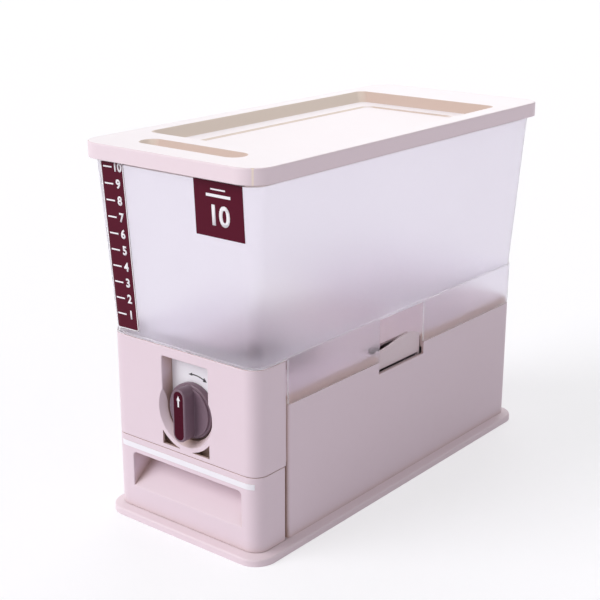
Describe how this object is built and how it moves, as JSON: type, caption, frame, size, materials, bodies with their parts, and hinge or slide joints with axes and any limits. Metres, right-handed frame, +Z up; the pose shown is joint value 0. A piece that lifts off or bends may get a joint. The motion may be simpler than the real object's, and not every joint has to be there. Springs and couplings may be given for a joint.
{
  "type": "rice dispenser",
  "caption": "Countertop rice dispenser: frosted hopper with a lift-off lid, sprung metering knob and pull-out drawer",
  "frame": {"origin": "on the floor, under the middle of the body", "axes": "+Z up; the front with the knob and the drawer faces -Y; +X is to the right seen from the front"},
  "size_m": [0.214, 0.476, 0.3685],
  "materials": {
    "cream_plastic": "fine matt moulded",
    "mauve_plastic": "satin moulded",
    "red_plastic": "smooth",
    "red_film": "printed film",
    "white_film": "printed film",
    "frosted_plastic": "frosted see-through polypropylene",
    "white_plastic": "plain",
    "steel": "zinc plated"
  },
  "bodies": {
    "housing": {"base_tray": "cream_plastic", "base_casing": "cream_plastic", "base_screws": "steel", "front_panel": "cream_plastic", "panel_screws": "steel", "dial_card": "white_film", "front_bush": "white_plastic", "rear_bush": "white_plastic", "return_spring": "steel", "rotor_housing": "cream_plastic", "rotor_cap": "cream_plastic", "cap_screws": "steel", "inner_deck": "cream_plastic", "housing_screws": "steel", "grip_plate_left": "cream_plastic", "grip_plate_right": "cream_plastic"},
    "knob_set": {"knob": "mauve_plastic", "knob_inlay": "red_plastic", "knob_screw": "steel", "drive_shaft": "steel", "shaft_clip": "steel", "spring_collar": "mauve_plastic", "rotor": "mauve_plastic"},
    "drawer": {"drawer_front": "cream_plastic", "drawer_tray": "cream_plastic", "drawer_screws": "steel", "drawer_strip": "white_film"},
    "bin": {"hopper": "frosted_plastic", "scale_strip": "red_film", "square_label": "red_film"},
    "lid": {"lid": "cream_plastic"}
  },
  "joints": [
    {"name": "knob_turn", "type": "hinge", "parent": "housing", "child": "knob_set", "pos_m": [0.0044, -0.222, 0.126], "axis": [0, 1, 0], "range_deg": [0, 90], "stiffness_Nm_per_rad": 0.12},
    {"name": "drawer_slide", "type": "slide", "parent": "housing", "child": "drawer", "axis": [0, -1, 0], "range_m": [0, 0.138]},
    {"name": "bin_lift", "type": "slide", "parent": "housing", "child": "bin", "axis": [0, 0, 1], "range_m": [0, 0.08]},
    {"name": "lid_lift", "type": "slide", "parent": "bin", "child": "lid", "axis": [0, 0, 1], "range_m": [0, 0.06]}
  ]
}
